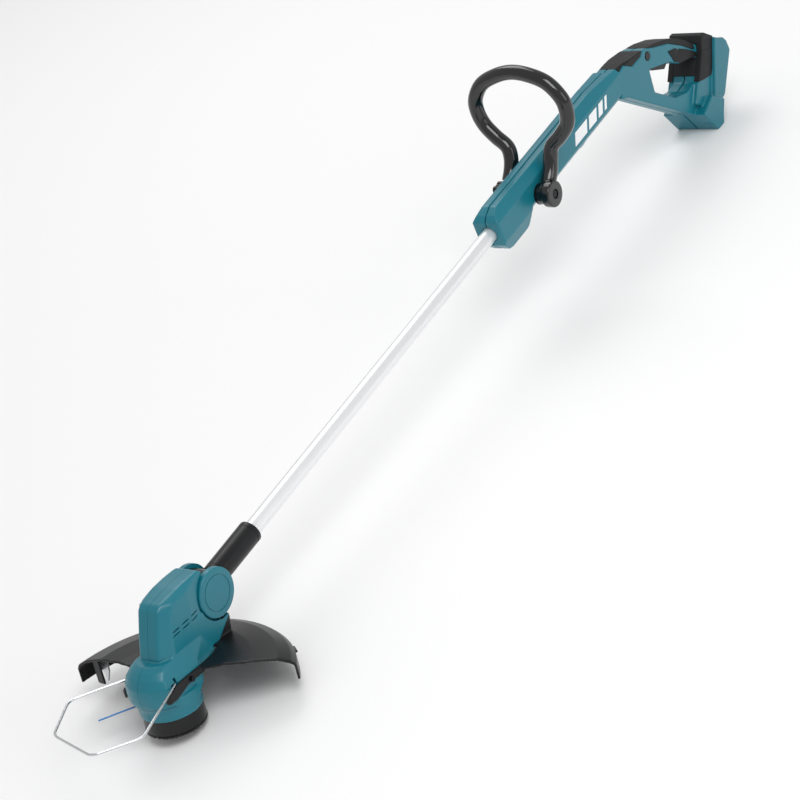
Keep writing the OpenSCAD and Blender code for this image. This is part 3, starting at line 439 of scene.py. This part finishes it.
combine(head_shell, ring_gap, "DIFFERENCE")
HEAD_SCREWS = [(-30, 58), (60, 74), (14, 138), (64, 142)]
hollow(head_shell, 2.4, 1.6, HEAD_SCREWS)
for x, z in HEAD_SCREWS:
    combine(head_shell, rod("screw_recess", 3, 60, at=(x, 44, z), sides=32), "DIFFERENCE")
combine(head_shell, discs, "UNION")
combine(head_shell, rod("drum_room", 24.5, 30, at=PIVOT_AT), "DIFFERENCE")
combine(head_shell, rod("pin_room", 5.1, 41, at=PIVOT_AT), "DIFFERENCE")
SLOT_FROM, SLOT_TO = -38, 98      # the sweep of the sleeve as the head tilts, in degrees
SLOT_IN, SLOT_OUT = 15, 62
slot_arc = [math.radians(SLOT_FROM + (SLOT_TO - SLOT_FROM) * i / 16) + head_pitch + shaft_pitch
            for i in range(17)]
slot = [(PIVOT_BACK + SLOT_OUT * math.cos(a), PIVOT_HIGH + SLOT_OUT * math.sin(a)) for a in slot_arc]
slot += [(PIVOT_BACK + SLOT_IN * math.cos(a), PIVOT_HIGH + SLOT_IN * math.sin(a))
         for a in reversed(slot_arc)]
combine(head_shell, plate("sleeve_slot", slot, -15, 15), "DIFFERENCE")
combine(head_shell, rod("spool_room", 34.1, 21, at=(0, 0, 30.5), along="Z"), "DIFFERENCE")
combine(head_shell, rod("spindle_room", 9, 30, at=(0, 0, 50), along="Z"), "DIFFERENCE")
for side in (-1, 1):
    disc_face = (PIVOT_BACK, side * 22.3, PIVOT_HIGH)
    ring = rod("disc_line", 21.2, 1.2, at=disc_face)
    combine(ring, rod("disc_middle", 20.2, 3, at=disc_face), "DIFFERENCE")
    combine(head_shell, ring, "DIFFERENCE")
    for x, z in [(16.5, 105.3), (33, 105.9), (49.5, 106.5), (17.5, 110), (34, 111), (50.5, 112)]:
        vent = rod("vent", 6.6, 14, at=(0, side * 22, 0))
        vent.data.transform(Matrix.Diagonal((1, 1, 0.13, 1)))
        vent.data.transform(Matrix.Rotation(math.radians(-3), 4, "Y"))
        vent.data.transform(Matrix.Translation((x * MM, 0, z * MM)))
        combine(head_shell, vent, "DIFFERENCE")
    arm_slot = [(-10.9, 60.1), (-10.9, 68.5), (-14.4, 68.5), (-14.4, 63.9), (-21, 63.9), (-21, 60.1)]
    combine(head_shell, plate("arm_slot", arm_slot, *sorted((side * 25.9, side * 40))), "DIFFERENCE")
crease = turned("crease", [(0, 39.4), (60, 39.4), (60, 40.2), (0, 40.2)])
combine(crease, turned("crease_core", [(0, 30), (36.5, 30), (39.3, 39.8), (42, 50), (0, 50)]), "DIFFERENCE")
combine(head_shell, crease, "DIFFERENCE")
head_left, head_right = halves(head_shell, "head_shell")
settle(head_left, HEAD, "head", teal_abs, ["head_housing_left"], 50)
settle(head_right, HEAD, "head", teal_abs, ["head_housing_right"], 50)


# ---------------------------------------------------------------- Screws, cutter and pivot
# Zinc-plated self-tapping screws, the stamped line cutter and the turned pins. Plated steel is
# bright, with a faintly uneven gloss.
def plated(name, dark, light, rough_low, rough_high, grain):
    """Bare or plated metal: a fine smear in its tone and its gloss."""
    material, shader = finish_of(name)
    shader.inputs["Metallic"].default_value = 1.0
    place = add(material, "ShaderNodeTexCoord")
    smear = add(material, "ShaderNodeTexNoise", {"Scale": 1 / (grain * MM), "Detail": 4.0},
                {"Vector": place.outputs["Object"]})
    tone = add(material, "ShaderNodeMix", {"data_type": "RGBA", 6: colour(dark), 7: colour(light)},
               {"Factor": smear.outputs["Fac"]})
    rough = add(material, "ShaderNodeMapRange", {"To Min": rough_low, "To Max": rough_high},
                {"Value": smear.outputs["Fac"]})
    material.node_tree.links.new(tone.outputs[2], shader.inputs["Base Color"])
    material.node_tree.links.new(rough.outputs[0], shader.inputs["Roughness"])
    return material


def finish_nodes(slot_name, material):
    """Gives a finish to the CAD nodes of one material slot."""
    for row in frame["record"]["subparts"]:
        if row["material_slot"] == slot_name:
            obj = frame["nodes"][row["node"]]
            obj.data.materials.clear()
            obj.data.materials.append(material)


steel = plated("zinc_plated_steel", "B4B7BB", "DCDEE0", 0.16, 0.32, 4)
cast = plated("die_cast_aluminium", "9EA1A4", "B9BBBD", 0.42, 0.58, 1.5)
brass = plated("machined_brass", "B8923F", "D4B060", 0.24, 0.36, 3)
finish_nodes("steel", steel)
finish_nodes("die_cast", cast)
finish_nodes("brass", brass)
finish_nodes("tube", anodised)
finish_nodes("nylon_line", nylon)
finish_nodes("black_plastic", black_pp)
finish_nodes("gear_nylon", moulded("gear_nylon", "DAD7CC", 0.4, depth=0.03, fade="E4E1D8"))
finish_nodes("board", moulded("solder_mask_board", "1E4A2C", 0.35, depth=0.04, fade="245634"))


# ---------------------------------------------------------------- Guard
# A thin black shield in impact-modified polypropylene that is screwed to the head behind the
# spool, with a rolled rim and a turned-down skirt.
def recast(name, node, place, voxel, turns, keep=1.0):
    """A closed copy of a CAD shape in its own frame, with the rounded edges that a mould leaves."""
    obj = link(name, frame["nodes"][node].data.copy())
    obj.data.transform(place.inverted())
    make_active(obj)
    bpy.ops.object.mode_set(mode="EDIT")
    bpy.ops.mesh.select_all(action="SELECT")
    bpy.ops.mesh.remove_doubles(threshold=1e-6)
    bpy.ops.object.mode_set(mode="OBJECT")
    soften(obj, voxel, turns)
    if keep < 1:
        apply(obj, "DECIMATE", ratio=keep)
    return obj


black_oxide = plated("black_oxide_steel", "26282B", "35373A", 0.3, 0.42, 4)
for piece in ("guard_screws", "loop_bolt", "pivot_drum"):
    frame["nodes"][piece].data.materials.clear()
    frame["nodes"][piece].data.materials.append(black_oxide)
guard = recast("guard_shield", "guard", HEAD, 1.0, 4, 0.6)
settle(guard, HEAD, "head", black_pp, ["guard"], 40)

# ---------------------------------------------------------------- Wire guard
# One length of 3 mm sprung steel wire, zinc plated, bent to an open hexagon. Its ends are hooked
# into the head, and it flips up about them.
def bent_route(corners, radius):
    """A route through corners that are rounded to a bend radius, all in millimetres."""
    corners = [Vector(c) for c in corners]
    route = [corners[0]]
    for before, corner, after in zip(corners, corners[1:], corners[2:]):
        back, on = before - corner, after - corner
        reach = min(radius, back.length * 0.45, on.length * 0.45)
        start, end = corner + back.normalized() * reach, corner + on.normalized() * reach
        for i in range(9):
            t = i / 8
            route.append((1 - t) ** 2 * start + 2 * t * (1 - t) * corner + t * t * end)
    return route + [corners[-1]]


def tube_along(name, points, radius, sides=6):
    """A round bar along points in millimetres, with closed ends, as a mesh."""
    data = bpy.data.curves.new(name, "CURVE")
    data.dimensions = "3D"
    data.bevel_depth = radius * MM
    data.bevel_resolution = sides
    data.use_fill_caps = True
    spline = data.splines.new("POLY")
    spline.points.add(len(points) - 1)
    for knot, point in zip(spline.points, points):
        knot.co = (*(point * MM), 1)
    obj = link(name, data)
    make_active(obj)
    bpy.ops.object.convert(target="MESH")
    bpy.ops.object.mode_set(mode="EDIT")
    bpy.ops.mesh.select_all(action="SELECT")
    bpy.ops.mesh.remove_doubles(threshold=1e-6)
    bpy.ops.mesh.normals_make_consistent(inside=False)
    bpy.ops.object.mode_set(mode="OBJECT")
    return bpy.context.object


WIRE_HIGH = 62
WIRE_BEND = 9
WIRE_RADIUS = 1.5
wire_corners = [(-12.6, -24), (-12.6, -29.5), (-16.6, -32), (-62.6, -49), (-112.6, -68), (-157, -33),
                (-135.6, 41), (-75, 74), (-42.6, 52), (-16.6, 32), (-12.6, 29.5), (-12.6, 24)]
wire_path = bent_route([(x, y, WIRE_HIGH) for x, y in wire_corners], WIRE_BEND)
wire = tube_along("wire_bar", wire_path, WIRE_RADIUS)
sprung_wire = plated("sprung_steel_wire", "C4C7CA", "E6E8EA", 0.14, 0.26, 6)
settle(wire, HEAD, "wire", sprung_wire, ["wire_guard"], 60)

# ---------------------------------------------------------------- Spool
# The spool's drum and bump cap, in glossier black nylon than the guard. Their rims are rounded.
black_nylon = moulded("black_nylon", "060709", 0.2, depth=0.02, fade="090A0D", ior=1.42)
for piece, body in (("spool_housing", "spool"), ("spool_cover", "spool"), ("bump_cap", "bump")):
    drum = recast(piece + "_moulding", piece, HEAD, 0.7, 4, 0.5)
    settle(drum, HEAD, body, black_nylon, [piece], 40)

# ---------------------------------------------------------------- Front housing
# Two teal ABS halves clamped on the tube, with a flat top, slanted shoulders and a deeper belly
# at the nose. Plain white stripes are pad printed on both sides.
for side in ("left", "right"):
    shell = recast("front_shell_" + side, "front_housing_" + side, FRONT, 1.15, 5, 0.6)
    settle(shell, FRONT, "tool", teal_abs, ["front_housing_" + side], 40)

white_ink = moulded("white_pad_print", "F4F5F6", 0.4, depth=0.02, fade="ECEEF0")
STRIPE_LOW, STRIPE_HIGH, STRIPE_LEAN = -3, 13, 9
STRIPE_IN, STRIPE_OUT = 19.8, 20.12     # the print stands a little proud of the housing's side
for side in (-1, 1):
    stripes = []
    for start, wide in ((203, 34), (243, 22), (271, 12), (289, 6)):
        outline = [(start, STRIPE_LOW), (start + wide, STRIPE_LOW),
                   (start + wide + STRIPE_LEAN, STRIPE_HIGH), (start + STRIPE_LEAN, STRIPE_HIGH)]
        stripes.append(plate("stripe", outline, *sorted((side * STRIPE_IN, side * STRIPE_OUT))))
    print_ = joined("side_stripes_" + ("left" if side < 0 else "right"), stripes)
    apply(print_, "BEVEL", width=0.05 * MM, segments=1)
    settle(print_, FRONT, "tool", white_ink, [], 40)

# ---------------------------------------------------------------- Rear housing
# Two teal ABS halves that carry the grip, the trigger, the neck and the battery plate. The lock-off
# button slides in a hole through both.
LOCK_OFF = (86, 0, -4)
for side in ("left", "right"):
    shell = recast("rear_shell_" + side, "rear_housing_" + side, REAR, 1.2, 5, 0.55)
    combine(shell, rod("lock_off_hole", 6.5, 60, at=LOCK_OFF, sides=64), "DIFFERENCE")
    combine(shell, rod("lock_off_room", 7.9, 25.4, at=LOCK_OFF, sides=64), "DIFFERENCE")
    settle(shell, REAR, "tool", teal_abs, ["rear_housing_" + side], 40)

# ---------------------------------------------------------------- Grip rubber, pads and boot
# Thermoplastic rubber moulded over the grip: matt, dark grey, with a fine grain. The boot wraps the
# neck above the battery plate and has six fine grooves.
rubber = moulded("thermoplastic_rubber", "111214", 0.55, grain=0.7, depth=0.18, fade="16171A", ior=1.4)
finish_nodes("soft_rubber", rubber)
strap = recast("grip_strap", "grip_rubber", REAR, 0.8, 3, 0.5)
settle(strap, REAR, "tool", rubber, ["grip_rubber"], 40)
PAD_IN, PAD_OUT = 17.1, 18.4
pad_outline = [(134, -27), (152, -33.5), (178, -51), (199, -69), (198, -77), (192, -72), (188, -69.8),
               (154, -58.6), (141, -48.5)]
pad_parts = []
for side in (-1, 1):
    pad = plate("pad", pad_outline, *sorted((side * PAD_IN, side * PAD_OUT)))
    pad_parts.append(combine(pad, rod("screw_hole", 3.4, 60, at=(160, 0, -37), sides=32), "DIFFERENCE"))
pads = joined("grip_pads", pad_parts)
apply(pads, "BEVEL", width=0.5 * MM, segments=2, limit_method="ANGLE", angle_limit=math.radians(60))
lining = plate("gap_lining", [(178.6, -96.6), (196.2, -78), (190, -69.9), (187.5, -71.3), (193, -78),
                              (177.2, -94.8)], -17.4, 17.4)
apply(lining, "BEVEL", width=0.4 * MM, segments=2, limit_method="ANGLE", angle_limit=math.radians(60))
settle(lining, REAR, "tool", rubber, [], 40)
settle(pads, REAR, "tool", rubber, ["grip_pad"], 40)
boot = plate("neck_boot", [(171.2, -101.2), (199, -71.6), (206, -58), (212, -49.5), (219.5, -50.2),
                           (237.5, -66.4), (240, -76), (222, -98), (206, -112), (184, -106)], -26.6, 26.6)
apply(boot, "BEVEL", width=1.4 * MM, segments=3, limit_method="ANGLE", angle_limit=math.radians(60))
neck = [(172.5, -102), (218.9, -52.2), (242, -73), (250, -82), (206, -128), (190, -126)]
combine(boot, plate("neck", neck, -25.1, 25.1), "DIFFERENCE")
grip = [(160, -30), (206, -60), (222, -60), (222, -120), (160, -120)]
combine(boot, plate("grip", grip, -17.7, 17.7), "DIFFERENCE")
for step in range(6):
    groove = rod("groove", 0.7, 70, at=(203 + step * 5, 0, -69 - step * 2.5), sides=16)
    combine(boot, groove, "DIFFERENCE")
settle(boot, REAR, "tool", rubber, ["rear_boot"], 40)

# ---------------------------------------------------------------- Trigger and lock-off button
# Black glass-filled nylon. The trigger turns on a pin, and the button slides across
# the grip.
for piece, body in (("trigger", "trigger"), ("lock_off_button", "lock_off")):
    button = recast(piece + "_moulding", piece, REAR, 0.45, 3)
    settle(button, REAR, body, black_nylon, [piece], 40)

# ---------------------------------------------------------------- Loop handle
# A hollow loop in high-gloss black polypropylene on a bolt through the front housing, with a round
# foot at each end.
LOOP_AT = 99
half_loop = [(0, 30.85, 0), (12, 30.85, 10), (24, 30.85, 20), (33, 30.85, 33), (39, 34.85, 47),
             (43, 50, 60), (47, 64, 76), (49, 69, 95), (51, 66, 114), (54, 50, 134), (56, 25, 145),
             (57, 0, 149)]
whole_loop = [Vector(p) for p in half_loop] + [Vector((x, -y, z)) for x, y, z in reversed(half_loop[:-1])]
LOOP_RADIUS = 10
loop_parts = [tube_along("loop_tube", smooth_route(whole_loop, 6), LOOP_RADIUS, 8)]
for side in (-1, 1):
    loop_parts.append(rod("foot", 14, 11, at=(0, side * 27.35, 0)))
loop_parts.append(rod("boss", 17.5, 11.7, at=(0, -38.65, 0)))
loop = joined("loop_bar", loop_parts)
soften(loop, 1.0, 14)
HOUSING_ROOM = 44       # the clear width between the two feet
combine(loop, rod("room", 30, HOUSING_ROOM), "DIFFERENCE")
combine(loop, rod("bolt_room", 4.1, 120), "DIFFERENCE")
combine(loop, rod("hex_recess", 6.5, 12, at=(0, -44.6, 0)), "DIFFERENCE")
combine(loop, rod("knob_side", 18, 12, at=(0, 39, 0)), "DIFFERENCE")
apply(loop, "DECIMATE", ratio=0.5)
gloss = moulded("high_gloss_black", "060708", 0.12, depth=0.0, fade="090A0C", coat=0.4)
finish_nodes("gloss_black", gloss)
LOOP = FRONT @ Matrix.Translation((LOOP_AT * MM, 0, -LOOP_DROP))
settle(loop, LOOP, "loop", gloss, ["loop_handle"], 60)
knob = recast("knob_moulding", "loop_knob", LOOP, 0.6, 4)
settle(knob, LOOP, "knob", black_nylon, ["loop_knob"], 40)
